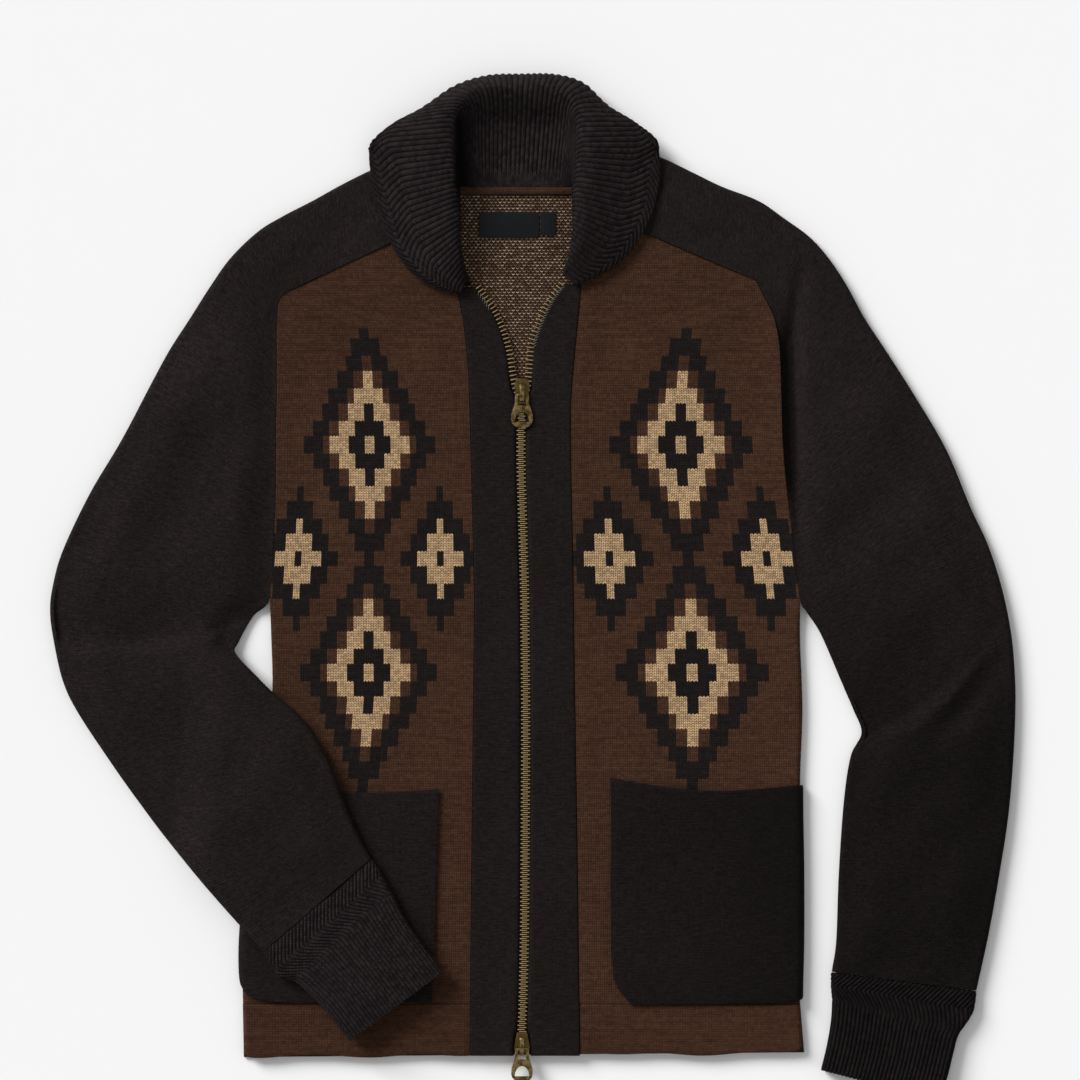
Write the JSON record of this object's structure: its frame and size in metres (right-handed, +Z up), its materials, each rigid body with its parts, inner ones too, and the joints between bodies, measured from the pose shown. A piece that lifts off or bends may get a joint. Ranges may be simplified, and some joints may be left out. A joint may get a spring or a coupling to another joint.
{
  "type": "zip-up sweater",
  "caption": "Knitted zip-up sweater with a ribbed shawl collar, saddle-shoulder sleeves, patch pockets and ribbed cuffs, laid flat with one sleeve folded across.",
  "frame": {"origin": "middle of the garment's outline on the surface it lies on", "axes": "+X to the right across the garment as seen from above, +Y from the hem to the collar, +Z up from the surface"},
  "size_m": [0.7716, 0.8192, 0.028],
  "materials": {
    "brown_knit": "mid-gauge wool knit",
    "hem_knit": "doubled knit band",
    "charcoal_knit": "felted heather knit",
    "charcoal_rib": "ribbed knit",
    "label_satin": "bare woven satin",
    "zip_tape": "woven tape",
    "antique_brass": "antique brass"
  },
  "bodies": {
    "garment": {"back_panel": "brown_knit", "front_left": "brown_knit", "front_right": "brown_knit", "neck_binding": "brown_knit", "hem_band_back": "hem_knit", "hem_band_left": "hem_knit", "hem_band_right": "hem_knit", "front_band_left": "charcoal_knit", "front_band_right": "charcoal_knit", "sleeve_left": "charcoal_knit", "sleeve_right": "charcoal_knit", "pocket_left": "charcoal_knit", "pocket_right": "charcoal_knit", "cuff_left": "charcoal_rib", "cuff_right": "charcoal_rib", "collar": "charcoal_rib", "neck_label": "label_satin", "size_tab": "label_satin", "zip_tape_left": "zip_tape", "zip_tape_right": "zip_tape", "slider_top": "antique_brass", "slider_bottom": "antique_brass"},
    "pull_top": {"pull_top": "antique_brass"},
    "pull_bottom": {"pull_bottom": "antique_brass"}
  },
  "joints": [
    {"name": "pull_top_hinge", "type": "hinge", "parent": "garment", "child": "pull_top", "pos_m": [-0.0088, 0.1544, 0.0095], "axis": [-1, 0, 0], "range_deg": [0, 140]},
    {"name": "pull_bottom_hinge", "type": "hinge", "parent": "garment", "child": "pull_bottom", "pos_m": [-0.0088, -0.368, 0.0095], "axis": [-1, 0, 0], "range_deg": [0, 140]}
  ]
}
